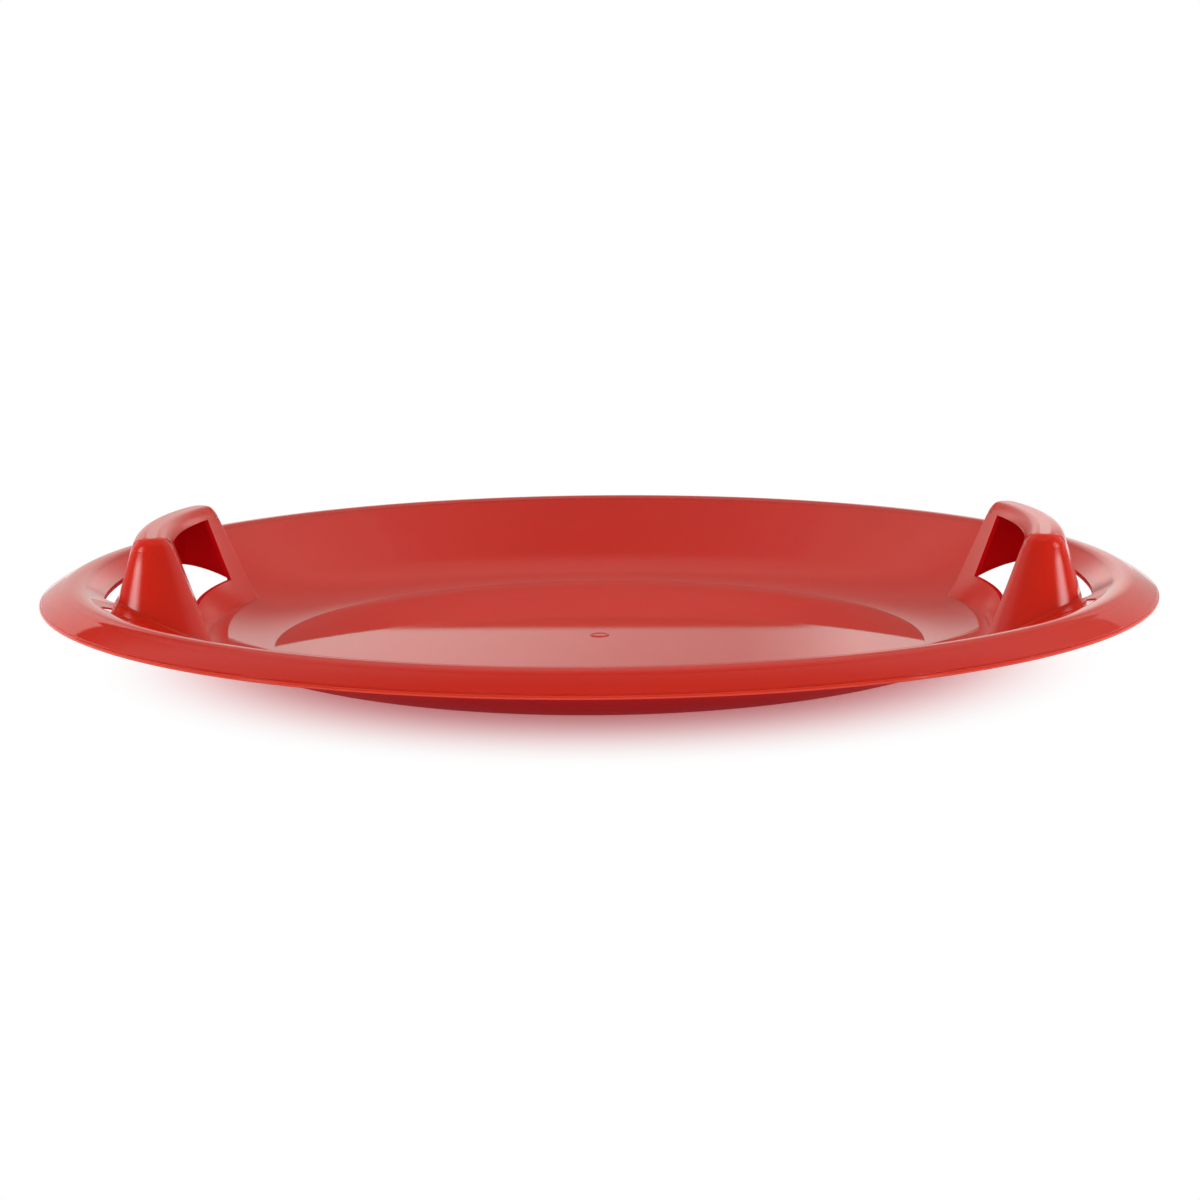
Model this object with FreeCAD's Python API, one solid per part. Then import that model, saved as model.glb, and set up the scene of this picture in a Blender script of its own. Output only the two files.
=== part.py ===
import FreeCAD, Part
import math
import os

# Saucer sled, moulded in one piece and modelled as its zones.
# The origin is the middle of the underside of the floor, +Z is up, and the handles stand at +X and -X.

# Dish sizes
rim_diameter = 660.0        # over the lip bead
rim_overhang = 20.0         # crest line to the outside of the lip bead, in plan
wall_run = 113.0            # crease at the foot of the wall to the crest line, in plan
floor_thickness = 2.6
wall_thickness = 2.5
hollow_radius = 150.6       # hollow round of the lower wall
crest_radius = 12.0         # outside round of the crest
toe_slope = 8.0             # degrees, slope of the wall where it leaves the crease
wall_slope = 27.0           # degrees, slope of the straight upper wall
rim_slope = 29.0            # degrees, fall of the rim outside the crest
bead_height = 2.4           # full round bead along the lip
gate_diameter = 11.0
gate_height = 0.5

# Handle sizes
handle_height = 75.4        # top of the grip above the underside of the floor
handle_setback = 12.5       # crest line to the outer side of the handle, at base level
handle_foot_width = 67.5    # across the handle at base level
handle_top_width = 19.0     # across the handle at its top
handle_outer_lean = 22.7    # how far the outer side leans in, from base level to the top
handle_foot_length = 145.0  # along the inner side, between the corners at base level
handle_top_length = 122.5   # the same, at the top
nose_foot_bulge = 21.0      # how far the rounded ends stand out past those corners, at base level
nose_top_bulge = 6.5
handle_top_radius = 9.0     # round along the top edges

# Openings
window_length = 94.6        # hand window in the inner side of the handle
window_bottom = 30.0        # above the underside of the floor
window_top = 68.6
slot_clearance = 7.0        # gap between the handle's outer side and the wall, at slot_height
slot_height = 38.5          # where that gap is measured
slot_past_corner = 9.0      # how far the slot runs past the handle's corners
tow_hole_diameter = 5.0
tow_hole_from_crest = 5.0   # down the wall from the start of the crest round
tow_hole_past_corner = 37.3 # along the wall, from the handle's front corner at base level

# How far cutting solids run past what they cut
overrun = 10.0

# Share of the handle's corner angle where the wall is divided beside a handle
bay_angle_share = 0.84

up = FreeCAD.Vector(0, 0, 1)
origin = FreeCAD.Vector(0, 0, 0)
full_turn = 360             # degrees


def mix(low, high, share):
    return low + (high - low) * share


def polar(radius, angle, height):
    return FreeCAD.Vector(radius * math.cos(angle), radius * math.sin(angle), height)


def section_point(radius, height):
    return FreeCAD.Vector(radius, 0, height)


def line(start, end):
    return Part.LineSegment(start, end).toShape()


def arc(start, middle, end):
    return Part.Arc(start, middle, end).toShape()


def turned(edges):
    """Turns a closed section in the XZ plane once round the Z axis."""
    face = Part.Face(Part.Wire(Part.sortEdges(edges)[0]))
    return face.revolve(origin, up, full_turn)


def export(shape, node):
    """Writes one zone as one solid, facing outwards."""
    solids = shape.Solids
    assert len(solids) == 1, node + " has " + str(len(solids)) + " solids"
    solids[0].exportStep("parts/" + node + ".step")


# Points of the dish section: the wall rises on a hollow round, runs straight, and rolls over the crest.
# Each of these names a point by its radius and height on the upper surface.
toe = math.radians(toe_slope)
rise = math.radians(wall_slope)
fall = math.radians(rim_slope)
rim_radius = rim_diameter / 2
crest_line_radius = rim_radius - rim_overhang
floor_radius = crest_line_radius - wall_run
bead_radius = bead_height / 2
lip_radius = rim_radius - bead_radius


def on_round(centre, radius, angle):
    """Point of a round whose surface slopes by angle there, above its centre."""
    return centre + FreeCAD.Vector(-radius * math.sin(angle), 0, radius * math.cos(angle))


def in_hollow(centre, radius, angle):
    """Point of a hollow round whose surface slopes by angle there, below its centre."""
    return centre + FreeCAD.Vector(radius * math.sin(angle), 0, -radius * math.cos(angle))


# The hollow leaves the crease at toe_slope, runs smoothly into the straight wall, and that into the crest.
hollow_centre = section_point(
    floor_radius - hollow_radius * math.sin(toe), floor_thickness + hollow_radius * math.cos(toe))
hollow_end = in_hollow(hollow_centre, hollow_radius, rise)
crest_start_radius = crest_line_radius - crest_radius * math.sin(rise)
crest_start = section_point(
    crest_start_radius, hollow_end.z + (crest_start_radius - hollow_end.x) * math.tan(rise))
crest_centre = section_point(crest_line_radius, crest_start.z - crest_radius * math.cos(rise))


def wall_line(depth):
    """Edges of the wall's section from the crease to the crest, depth below its upper surface."""
    radius = hollow_radius + depth
    start_angle = math.asin(hollow_radius * math.sin(toe) / radius)
    start = in_hollow(hollow_centre, radius, start_angle)
    middle = in_hollow(hollow_centre, radius, (start_angle + rise) / 2)
    end = in_hollow(hollow_centre, radius, rise)
    top = on_round(crest_centre, crest_radius - depth, rise)
    return start, [arc(start, middle, end), line(end, top)], top


def rim_line(depth):
    """Edges of the rim's section from the crest to the lip, depth below its upper surface."""
    start = on_round(crest_centre, crest_radius - depth, rise)
    middle = on_round(crest_centre, crest_radius - depth, (rise - fall) / 2)
    end = on_round(crest_centre, crest_radius - depth, -fall)
    lip = section_point(lip_radius, end.z - (lip_radius - end.x) * math.tan(fall))
    return start, [arc(start, middle, end), line(end, lip)], lip


def make_wall():
    upper_start, upper, upper_top = wall_line(0)
    lower_start, lower, lower_top = wall_line(wall_thickness)
    ends = [line(upper_start, lower_start), line(upper_top, lower_top)]
    return turned(upper + lower + ends)


def make_rim():
    upper_start, upper, upper_lip = rim_line(0)
    lower_start, lower, lower_lip = rim_line(wall_thickness)
    ends = [line(upper_start, lower_start), line(upper_lip, lower_lip)]
    return turned(upper + lower + ends)


def make_bead():
    """The bead is a half round on the lip's lower edge."""
    lower_lip = rim_line(wall_thickness)[2]
    foot = section_point(lip_radius, lower_lip.z)
    outside = section_point(rim_radius, lower_lip.z + bead_radius)
    top = section_point(lip_radius, lower_lip.z + bead_height)
    return turned([arc(foot, outside, top), line(top, foot)])


def above_underside():
    """Everything above the wall's underside, from the crease to the crest, up past the handles."""
    start, edges, top = wall_line(wall_thickness)
    roof = handle_height + overrun
    roof_in = section_point(start.x, roof)
    roof_out = section_point(top.x, roof)
    return turned(edges + [line(top, roof_out), line(roof_out, roof_in), line(roof_in, start)])


# Handle section: two arcs about the dish's axis, joined by a rounded nose at each end.
outer_foot_radius = crest_line_radius - handle_setback
inner_foot_radius = outer_foot_radius - handle_foot_width
outer_top_radius = outer_foot_radius - handle_outer_lean
inner_top_radius = outer_top_radius - handle_top_width
corner_angle = math.asin(handle_foot_length / 2 / inner_foot_radius)


def handle_outline(height, inset):
    """Closed outline of the handle at a height, drawn inset from its outside."""
    share = height / handle_height
    inner = mix(inner_foot_radius, inner_top_radius, share) + inset
    outer = mix(outer_foot_radius, outer_top_radius, share) - inset
    half_length = mix(handle_foot_length, handle_top_length, share) / 2
    angle = math.asin(half_length / (inner - inset)) - inset / inner
    bulge = mix(nose_foot_bulge, nose_top_bulge, share)
    middle = (inner + outer) / 2
    along = FreeCAD.Vector(-math.sin(angle), math.cos(angle), 0) * bulge
    rear_tip = polar(middle, angle, height) + along
    front_tip = FreeCAD.Vector(rear_tip.x, -rear_tip.y, height)
    inner_front = polar(inner, -angle, height)
    inner_rear = polar(inner, angle, height)
    outer_front = polar(outer, -angle, height)
    outer_rear = polar(outer, angle, height)
    return Part.Wire([
        arc(inner_front, polar(inner, 0, height), inner_rear),
        arc(inner_rear, rear_tip, outer_rear),
        arc(outer_rear, polar(outer, 0, height), outer_front),
        arc(outer_front, front_tip, inner_front),
    ])


def handle_block(inset):
    """Solid handle with a rounded top, drawn inset from its outside."""
    top = handle_height - inset
    block = Part.makeLoft([handle_outline(-overrun, inset), handle_outline(top, inset)], True, True)
    top_edges = [edge for edge in block.Edges if edge.BoundBox.ZMin > top - inset - wall_thickness]
    return block.makeFillet(handle_top_radius - inset, top_edges)


def wedge(half_angle):
    """Upright wedge about +X, out past the rim."""
    reach = rim_radius + overrun
    height = handle_height + overrun + overrun
    corner_front = polar(reach, -half_angle, -overrun)
    corner_rear = polar(reach, half_angle, -overrun)
    tip = FreeCAD.Vector(0, 0, -overrun)
    edges = [line(tip, corner_front), line(corner_front, corner_rear), line(corner_rear, tip)]
    return Part.Face(Part.Wire(edges)).extrude(up * height)


def slab(low, high, depth_low, depth_high):
    """Block across the right handle between two heights and two places along Y."""
    reach = rim_radius + overrun
    corner = FreeCAD.Vector(0, depth_low, low)
    return Part.makeBox(reach, depth_high - depth_low, high - low, corner)


def slot_block():
    """Slot outside the handle: a curved bar with round ends, cut straight down through the wall."""
    share = slot_height / handle_height
    inner = mix(outer_foot_radius, outer_top_radius, share) - slot_clearance
    outer = inner + slot_clearance + slot_clearance
    middle = (inner + outer) / 2
    half_length = mix(handle_foot_length, handle_top_length, share) / 2
    corner = math.asin(half_length / mix(inner_foot_radius, inner_top_radius, share))
    angle = corner + slot_past_corner / middle - slot_clearance / middle
    rear_cap = polar(middle, angle, 0) + polar(slot_clearance, angle + math.pi / 2, 0)
    front_cap = FreeCAD.Vector(rear_cap.x, -rear_cap.y, 0)
    outline = Part.Wire([
        arc(polar(inner, -angle, 0), polar(inner, 0, 0), polar(inner, angle, 0)),
        arc(polar(inner, angle, 0), rear_cap, polar(outer, angle, 0)),
        arc(polar(outer, angle, 0), polar(outer, 0, 0), polar(outer, -angle, 0)),
        arc(polar(outer, -angle, 0), front_cap, polar(inner, -angle, 0)),
    ])
    return Part.Face(outline).extrude(up * handle_height)


def tow_hole():
    """Round hole square to the wall, near the crest."""
    middle = crest_start + FreeCAD.Vector(-math.cos(rise), 0, -math.sin(rise)) * tow_hole_from_crest
    outward = FreeCAD.Vector(-math.sin(rise), 0, math.cos(rise))
    bore = Part.makeCylinder(
        tow_hole_diameter / 2, overrun + overrun, middle - outward * overrun, outward)
    azimuth = -corner_angle - tow_hole_past_corner / middle.x
    bore.rotate(origin, up, math.degrees(azimuth))
    return bore


def on_left(shape):
    """The left side is the right side seen in a mirror."""
    return shape.mirror(origin, FreeCAD.Vector(1, 0, 0))


def make_floor():
    return Part.makeCylinder(floor_radius, floor_thickness)


def make_gate_mark():
    return Part.makeCylinder(gate_diameter / 2, gate_height, FreeCAD.Vector(0, 0, floor_thickness))


def make_handle_zones(outside):
    """Grip, posts and sill of the right handle, cut from one hollow hump at the window's edges."""
    hump = outside.cut(handle_block(wall_thickness)).common(above_underside())
    far = rim_radius
    roof = handle_height + overrun
    half_window = window_length / 2
    between = hump.common(slab(-overrun, roof, -half_window, half_window))
    front_post = hump.common(slab(-overrun, roof, -far, -half_window))
    rear_post = hump.common(slab(-overrun, roof, half_window, far))
    spine_radius = (inner_top_radius + outer_top_radius) / 2
    inner_side = Part.makeCylinder(spine_radius, roof)
    sill = between.common(inner_side).common(slab(-overrun, window_bottom, -far, far))
    lintel = between.common(inner_side).common(slab(window_top, roof, -far, far))
    grip = between.cut(inner_side).fuse(lintel).removeSplitter()
    return {"grip": grip, "front_post": front_post, "rear_post": rear_post, "sill": sill}


def make_wall_zones(outside):
    """The wall, opened for both handles and the tow hole, and divided beside the handles."""
    opening = outside.fuse(slot_block())
    wall = make_wall().cut(opening).cut(on_left(opening)).cut(tow_hole())
    bay = wedge(corner_angle * bay_angle_share)
    right_strips = wall.common(bay).Solids
    right_strips.sort(key=lambda strip: strip.CenterOfMass.x)
    reach = rim_radius + overrun
    half = Part.makeBox(reach + reach, reach, handle_height, FreeCAD.Vector(-reach, 0, 0))
    walls = wall.cut(bay).cut(on_left(bay))
    zones = {"rear_wall": walls.common(half), "front_wall": walls.cut(half)}
    for name, strip in zip(("toe", "shoulder"), right_strips):
        zones["right_wall_" + name] = strip
        zones["left_wall_" + name] = on_left(strip)
    return zones


os.makedirs("parts", exist_ok=True)
handle = handle_block(0)
export(make_floor(), "floor_pan")
export(make_gate_mark(), "gate_mark")
export(make_rim(), "rolled_rim")
export(make_bead(), "rim_bead")
for node, zone in make_wall_zones(handle).items():
    export(zone, node)
for node, zone in make_handle_zones(handle).items():
    export(zone, "right_" + node)
    export(on_left(zone), "left_" + node)
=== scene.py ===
import math
import bpy
import numpy as np
from mathutils import Matrix


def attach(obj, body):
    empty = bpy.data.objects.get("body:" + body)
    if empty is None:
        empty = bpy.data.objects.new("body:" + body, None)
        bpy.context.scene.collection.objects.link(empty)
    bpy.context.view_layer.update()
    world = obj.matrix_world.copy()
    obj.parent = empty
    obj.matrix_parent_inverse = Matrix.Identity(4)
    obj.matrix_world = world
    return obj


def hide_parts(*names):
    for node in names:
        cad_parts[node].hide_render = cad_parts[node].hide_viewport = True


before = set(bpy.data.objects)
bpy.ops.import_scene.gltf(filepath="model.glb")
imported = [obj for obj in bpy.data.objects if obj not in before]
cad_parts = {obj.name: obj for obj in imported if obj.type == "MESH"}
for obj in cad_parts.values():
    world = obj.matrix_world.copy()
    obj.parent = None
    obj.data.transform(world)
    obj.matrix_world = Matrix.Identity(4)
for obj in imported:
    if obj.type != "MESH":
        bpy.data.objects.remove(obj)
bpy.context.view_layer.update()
print("stage: frame loaded,", len(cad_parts), "nodes")

# Shapes are worked out in millimetres, in the frame of the solids, and put into the meshes in metres.
mm = 0.001
tiny = 1e-6                 # radii closer than this are the same
weldSteps = 500             # points that fall on the same 1/500 mm are welded

# Dish section
dish = dict(floorRadius=197.0, floorTop=2.6, thickness=2.5, hollowRadius=150.6, toeSlope=8.0, wallSlope=27.0,
            crestLine=310.0, crestRadius=15.0, rimSlope=29.0, lipRadius=328.8, columnsPerTurn=720)
toe, rise, fall = (math.radians(dish[k]) for k in ("toeSlope", "wallSlope", "rimSlope"))
thick = dish["thickness"]
floorRadius, floorTop, hollow = dish["floorRadius"], dish["floorTop"], dish["hollowRadius"]
hollowX = floorRadius - hollow * math.sin(toe)              # middle of the hollow round
hollowZ = floorTop + hollow * math.cos(toe)
crestStartR = dish["crestLine"] - dish["crestRadius"] * math.sin(rise)
joinR = hollowX + hollow * math.sin(rise)                   # hollow round runs into the straight wall
joinZ = hollowZ - hollow * math.cos(rise)
crestStartZ = joinZ + (crestStartR - joinR) * math.tan(rise)
crestX, crestZ = dish["crestLine"], crestStartZ - dish["crestRadius"] * math.cos(rise)


def wallSlopeAt(r, depth=0.0):
    # slope angle of the wall depth below its upper face: asin of the place on the hollow round, then straight
    return np.arcsin(np.clip((r - hollowX) / (hollow + depth), -1, math.sin(rise)))


def wallHeight(r, depth=0.0):
    # height of the wall at radius r, depth below its upper face: hollow round, then a straight line
    onRound = hollowZ - (hollow + depth) * np.cos(wallSlopeAt(r, depth))
    straightFrom = hollowX + (hollow + depth) * math.sin(rise)
    return onRound + np.maximum(r - straightFrom, 0) * math.tan(rise)


def polar(r, angle, z):
    r, angle, z = np.broadcast_arrays(r, angle, z)
    return np.stack([r * np.cos(angle), r * np.sin(angle), z], -1)


def unit(v):
    # the small number keeps a vector of no length from dividing by zero
    return v / np.maximum(np.linalg.norm(v, axis=-1, keepdims=True), 1e-12)


def smooth(x):
    # 3 x^2 - 2 x^3 between 0 and 1
    x = np.clip(x, 0, 1)
    return x * x * (3 - 2 * x)


def gridNormals(points, wrap=False):
    # normal = (step along the rows) x (step along the columns), by second-order differences
    alongRows = np.gradient(points, axis=0, edge_order=2)
    if wrap:
        alongCols = np.roll(points, -1, 1) - np.roll(points, 1, 1)
    else:
        alongCols = np.gradient(points, axis=1, edge_order=2)
    return unit(np.cross(alongRows, alongCols))


def shell(outer, inner, keep=None, wrap=False, outerNormals=None, innerNormals=None):
    # a skin of the kept grid cells: outer face, inner face turned round, and walls where a kept cell has no neighbour
    rows, cols = outer.shape[:2]
    keep = np.ones((rows - 1, cols if wrap else cols - 1), bool) if keep is None else keep
    nOut = gridNormals(outer, wrap) if outerNormals is None else outerNormals
    nIn = -gridNormals(inner, wrap) if innerNormals is None else innerNormals
    i, j = np.nonzero(keep)
    k = (j + 1) % cols
    top = np.stack([i * cols + j, (i + 1) * cols + j, (i + 1) * cols + k, i * cols + k], 1)
    points = np.concatenate([outer.reshape(-1, 3), inner.reshape(-1, 3)])
    around = np.pad(keep, 1)
    if wrap:
        around[1:-1, 0], around[1:-1, -1] = keep[:, -1], keep[:, 0]
    beside = ((0, 1, around[i + 1, j]), (1, 2, around[i + 2, j + 1]),
              (2, 3, around[i + 1, j + 2]), (3, 0, around[i, j + 1]))
    sides = []
    for a, b, taken in beside:
        p, q = top[~taken, a], top[~taken, b]
        sides.append(np.stack([q, p, p + rows * cols, q + rows * cols], 1))
    sides = np.concatenate(sides)
    flat = unit(np.cross(points[sides[:, 2]] - points[sides[:, 0]], points[sides[:, 3]] - points[sides[:, 1]]))
    under = top[:, ::-1] + rows * cols
    quads = np.concatenate([top, under, sides])
    normals = np.concatenate([nOut.reshape(-1, 3)[top], nIn.reshape(-1, 3)[under - rows * cols],
                              np.repeat(flat[:, None], 4, 1)])
    finish = np.repeat([0, 1], [len(top), len(under) + len(sides)])     # inner face and cut edges are matt
    return points, quads, normals, finish


def mirrored(part):
    # the same shell on the other side of X = 0, with its faces turned back outwards
    points, quads, normals, finish = part
    flip = np.array([-1.0, 1.0, 1.0])
    return points * flip, quads[:, ::-1], normals[:, ::-1] * flip, finish


def inOneFinish(part, number):
    # the same shell with every face in one material
    return part[:3] + (0 * part[3] + number,)


def addObject(name, data):
    made = bpy.data.objects.new(name, data)
    bpy.context.scene.collection.objects.link(made)
    return made


def buildPiece(name, shells, nodes, materials=None):
    # shells are welded, walls that two of them share are dropped, and each corner keeps its worked-out normal
    counts = np.cumsum([0] + [len(s[0]) for s in shells])
    points = np.concatenate([s[0] for s in shells])
    quads = np.concatenate([s[1] + n for s, n in zip(shells, counts)])
    normals = np.concatenate([s[2] for s in shells])
    finish = np.concatenate([s[3] for s in shells])
    _, first, number = np.unique(np.round(points * weldSteps).astype(np.int64), axis=0,
                                 return_index=True, return_inverse=True)
    points, quads = points[first], number.reshape(-1)[quads]
    corner = quads != np.roll(quads, 1, axis=1)                # a collapsed corner is left out
    real = corner.sum(1) >= 3
    _, same, times = np.unique(np.sort(quads, 1), axis=0, return_inverse=True, return_counts=True)
    real &= times[same.reshape(-1)] == 1
    quads, corner, normals, finish = quads[real], corner[real], normals[real], finish[real]
    used, loops = np.unique(quads[corner], return_inverse=True)
    points, loops, loopNormals, totals = points[used], loops.reshape(-1), normals[corner], corner.sum(1)
    mesh = bpy.data.meshes.new(name)
    mesh.vertices.add(len(points))
    mesh.vertices.foreach_set("co", (points * mm).astype(np.float32).ravel())
    mesh.loops.add(len(loops))
    mesh.loops.foreach_set("vertex_index", loops.astype(np.int32))
    mesh.polygons.add(len(totals))
    mesh.polygons.foreach_set("loop_start", np.concatenate([[0], np.cumsum(totals)[:-1]]).astype(np.int32))
    mesh.polygons.foreach_set("use_smooth", np.ones(len(totals), bool))
    mesh.polygons.foreach_set("material_index", finish.astype(np.int32))
    mesh.update(calc_edges=True)
    mesh.normals_split_custom_set(loopNormals.astype(np.float32))
    for material in materials or (redPlastic, redUnderside):
        mesh.materials.append(material)
    piece = addObject(name, mesh)
    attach(piece, "root")
    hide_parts(*nodes)
    print("piece:", name, len(totals), "faces,", 2 * len(mesh.edges) - len(loops), "open edges")
    return piece


class Wire:
    # a shader socket that sums, products and quotients can be written with
    def __init__(self, tree, socket):
        self.tree, self.socket = tree, socket

    def node(self, kind, settings=None, inputs=None, out=0):
        made = self.tree.nodes.new("ShaderNode" + kind)
        for key, value in (settings or {}).items():
            if key == "stops":
                ramp = made.color_ramp.elements
                while len(ramp) < len(value):
                    ramp.new(0.5)
                for stop, (place, colour) in zip(ramp, value):
                    stop.position, stop.color = place, colour
            else:
                setattr(made, key, value)
        for key, value in (inputs or {}).items():
            if isinstance(value, Wire):
                self.tree.links.new(value.socket, made.inputs[key])
            else:
                made.inputs[key].default_value = value
        return Wire(self.tree, made.outputs[out] if len(made.outputs) else None)

    def output(self, name):
        # another output of the same node
        return Wire(self.tree, self.socket.node.outputs[name])

    def calc(self, operation, a, b=0.0):
        return self.node("Math", {"operation": operation}, {0: a, 1: b})

    def ease(self, low, high, fromValue=0.0, toValue=1.0):
        # smooth step: fromValue where this is below low, toValue where it is above high
        return self.node("MapRange", {"interpolation_type": "SMOOTHSTEP"},
                         {0: self, 1: low, 2: high, 3: fromValue, 4: toValue})

    def blend(self, fromColour, toColour):
        # colour mix, with this as its factor
        return self.node("Mix", {"data_type": "RGBA"}, {0: self, 6: fromColour, 7: toColour}, out=2)

    def __add__(self, other): return self.calc("ADD", self, other)
    def __radd__(self, other): return self.calc("ADD", other, self)
    def __sub__(self, other): return self.calc("SUBTRACT", self, other)
    def __rsub__(self, other): return self.calc("SUBTRACT", other, self)
    def __mul__(self, other): return self.calc("MULTIPLY", self, other)
    def __rmul__(self, other): return self.calc("MULTIPLY", other, self)
    def __truediv__(self, other): return self.calc("DIVIDE", self, other)
    def __rtruediv__(self, other): return self.calc("DIVIDE", other, self)


def newTree(holder):
    holder.use_nodes = True
    tree = holder.node_tree
    tree.nodes.clear()
    return Wire(tree, None)


# Red moulded plastic: gloss with faint flow marks, handling smudges, fine scratches and a slight orange peel, and a
# painted glow on the web beside the slots.
# A noise is its scale, detail and roughness.
plastic = dict(name="redPlastic", deep=(0.51, 0.013, 0.003, 1), pale=(0.56, 0.017, 0.004, 1), ior=1.5, level=0.5,
               roughness=0.012, smudge=0.02, scratch=0.05, scratchFrom=0.66, scratchTo=0.74,
               peel=0.008, peelDepth=0.0004, glow=0.55, glowRadius=(1.0, 0.05, 0.04), glowDepth=0.006,
               # painted glow: a lighter red painted on the web beside the slots, at this radius and within this reach
               paintedGlow=(0.72, 0.022, 0.005, 1), paintedGlowAt=0.299, paintedGlowHalf=(0.003, 0.016), paintedGlowReach=(0.05, 0.11),
               flowNoise=(9.0, 3.0, 0.55), smudgeNoise=(31.0, 5.0, 0.6), scratchNoise=(2.2, 2.0, 0.5),
               peelNoise=(420.0, 1.0, 0.5), streakTurn=(0, 0, 0.5), streakScale=(14.0, 420.0, 90.0))
underside = dict(plastic, name="redUnderside", deep=(0.50, 0.003, 0.006, 1), pale=(0.55, 0.005, 0.009, 1),
                 paintedGlow=(0.55, 0.005, 0.009, 1), roughness=0.42, level=0.12, ior=1.12)     # the mould's core side, matt
fillet = dict(plastic, name="redFillet", glow=0.0)          # strips too thin to let light through
# painted light: the handles' red is a shade lighter than the dish's, standing in for light their faces lack
handle = dict(plastic, name="redHandle", deep=(0.54, 0.014, 0.003, 1), pale=(0.59, 0.018, 0.004, 1),
              paintedGlow=(0.59, 0.018, 0.004, 1), roughness=0.16)  # less glossy where hands hold it
# painted light: the lip bead's red is a shade lighter than the dish's, standing in for the light falling on it
paintedLitLip = dict(plastic, name="redEdge", deep=(0.64, 0.034, 0.010, 1), pale=(0.68, 0.040, 0.013, 1))


def redPlasticMaterial(look):
    material = bpy.data.materials.new(look["name"])
    w = newTree(material)
    place = w.node("TexCoord", out=3)

    def noise(kind, vector):
        scale, detail, roughness = look[kind + "Noise"]
        return w.node("TexNoise", inputs={"Vector": vector, "Scale": scale, "Detail": detail, "Roughness": roughness})

    streaks = w.node("Mapping", inputs={"Vector": place, "Rotation": look["streakTurn"], "Scale": look["streakScale"]})
    scratch = noise("scratch", streaks).ease(look["scratchFrom"], look["scratchTo"])
    roughness = look["roughness"] + look["smudge"] * noise("smudge", place) + look["scratch"] * scratch
    # painted glow: the web outside the slots is painted a lighter red, standing in for light that comes through it from
    # both faces
    away = w.node("VectorMath", {"operation": "LENGTH"}, {0: place}, out=1)
    along = w.node("SeparateXYZ", inputs={0: place}, out=1)
    paintedGlowZone = w.calc("ABSOLUTE", away - look["paintedGlowAt"]).ease(*look["paintedGlowHalf"], 1.0, 0.0) \
        * w.calc("ABSOLUTE", along).ease(*look["paintedGlowReach"], 1.0, 0.0)
    colour = paintedGlowZone.blend(noise("flow", place).blend(look["deep"], look["pale"]), look["paintedGlow"])
    bump = w.node("Bump", inputs={"Strength": look["peel"], "Distance": look["peelDepth"],
                                  "Height": noise("peel", place)})
    shader = w.node("BsdfPrincipled", inputs={
        "Base Color": colour, "Roughness": roughness, "Normal": bump,
        "IOR": look["ior"], "Specular IOR Level": look["level"], "Subsurface Weight": look["glow"],
        "Subsurface Radius": look["glowRadius"], "Subsurface Scale": look["glowDepth"]})
    w.node("OutputMaterial", inputs={"Surface": shader})
    return material


redPlastic, redUnderside, redFillet, redHandle, redEdge = (
    redPlasticMaterial(look) for look in (plastic, underside, fillet, handle, paintedLitLip))
print("stage: materials")

# Columns round the dish, shared by every turned piece so that their edges meet point for point
turnStep = 2 * math.pi / dish["columnsPerTurn"]


def columnAngles(fromDegrees, toDegrees):
    count = round(math.radians(toDegrees - fromDegrees) / turnStep)
    return math.radians(fromDegrees) + turnStep * np.arange(count + 1)


fullTurn = columnAngles(0, 360)[:-1]


def turned(section, angles):
    # a section of (radius, height) points carried round the Z axis
    section = np.asarray(section, float)
    return polar(section[:, :1], angles[None, :], section[:, 1:])


def sectionNormals(slopes, angles, sign=1.0):
    # normal of a turned surface that slopes up outwards by an angle
    slopes = np.asarray(slopes, float)[:, None]
    return sign * polar(-np.sin(slopes), angles[None, :], np.cos(slopes))


# Floor pan: a flat disc from the middle to the crease
pan = dict(firstRing=4.0, rings=16)
panRadii = np.concatenate([[0.0], np.linspace(pan["firstRing"], floorRadius, pan["rings"])])
panFlat = np.zeros(len(panRadii))
buildPiece("floorPan", [shell(
    turned(np.stack([panRadii, panFlat + floorTop], 1), fullTurn),
    turned(np.stack([panRadii, panFlat], 1), fullTurn), wrap=True,
    outerNormals=sectionNormals(panFlat, fullTurn), innerNormals=sectionNormals(panFlat, fullTurn, -1))],
    ["floor_pan"])

# Gate mark: a low ring with a rounded edge round a shallow hollow
gate = dict(radius=5.9, height=0.5, edge=0.45, ring=4.9, slope=0.9, hollow=0.36, sunk=0.4, rows=41, columns=96)
gateTurn = np.linspace(0, 2 * math.pi, gate["columns"] + 1)[:-1]
gateRadii = np.linspace(0, gate["radius"], gate["rows"])
gateInset = np.clip((gateRadii - gate["radius"] + gate["edge"]) / gate["edge"], 0, 1)
gateHeights = gate["height"] * np.sqrt(np.maximum(1 - gateInset ** 2, 0)) \
    - gate["hollow"] * smooth((gate["ring"] - gateRadii) / gate["slope"])
gateTop = turned(np.stack([gateRadii, floorTop + gateHeights], 1), gateTurn)
gateUnder = turned(np.stack([gateRadii, 0 * gateRadii + floorTop - gate["sunk"]], 1), gateTurn)
buildPiece("gateMark", [shell(gateTop, gateUnder, wrap=True)], ["gate_mark"])

# Rolled rim: the crest round and the band outside it, down to the lip
rim = dict(crestRows=28, bandRows=12, edgeRows=6, edgeRound=0.7, bow=0.3)


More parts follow.
